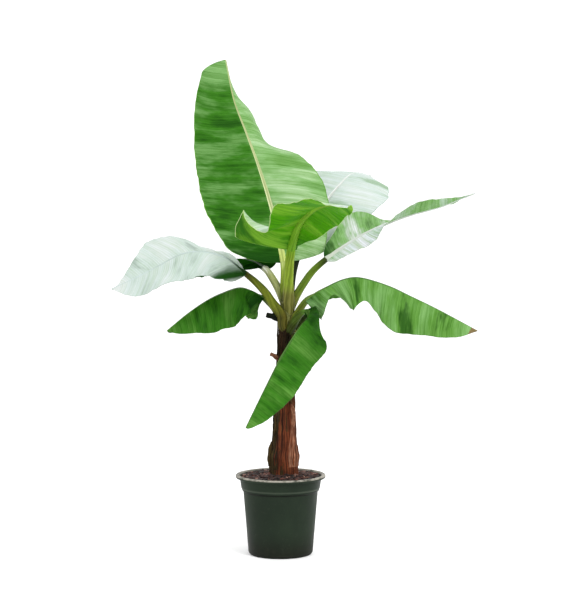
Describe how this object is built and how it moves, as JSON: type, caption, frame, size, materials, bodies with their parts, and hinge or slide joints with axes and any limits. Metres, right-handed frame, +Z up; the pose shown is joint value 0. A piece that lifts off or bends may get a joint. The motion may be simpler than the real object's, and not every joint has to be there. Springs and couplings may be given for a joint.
{
  "type": "potted banana plant",
  "caption": "Young banana plant with broad arching leaves on a fibrous brown stem, in a plain dark green-grey nursery pot of bark chips.",
  "frame": {"origin": "centre of the pot's flat underside", "axes": "+Z up along the pot and stem; -Y towards the side seen in the picture; +X to the right as seen from there"},
  "size_m": [0.9571, 0.8492, 1.3218],
  "materials": {
    "pot": "satin dark green-grey moulded plastic",
    "growing_mix": "loose damp bark chips, reddish brown",
    "stem": "dry fibrous leaf sheaths, matt brown",
    "leaf_stalk": "smooth, satin yellow-green",
    "leaf": "thin smooth leaf with fine cross veins, satin green"
  },
  "bodies": {
    "root": {"pot": "pot", "growing_mix": "growing_mix", "stem": "stem", "stalk_tall": "leaf_stalk", "leaf_tall": "leaf", "stalk_young": "leaf_stalk", "leaf_young": "leaf", "stalk_left": "leaf_stalk", "leaf_left": "leaf", "stalk_low_left": "leaf_stalk", "leaf_low_left": "leaf", "stalk_low_right": "leaf_stalk", "leaf_low_right": "leaf", "stalk_right": "leaf_stalk", "leaf_right": "leaf", "stalk_back_right": "leaf_stalk", "leaf_back_right": "leaf", "stalk_front": "leaf_stalk", "leaf_front": "leaf", "stalk_back_left": "leaf_stalk", "leaf_back_left": "leaf"}
  },
  "joints": []
}
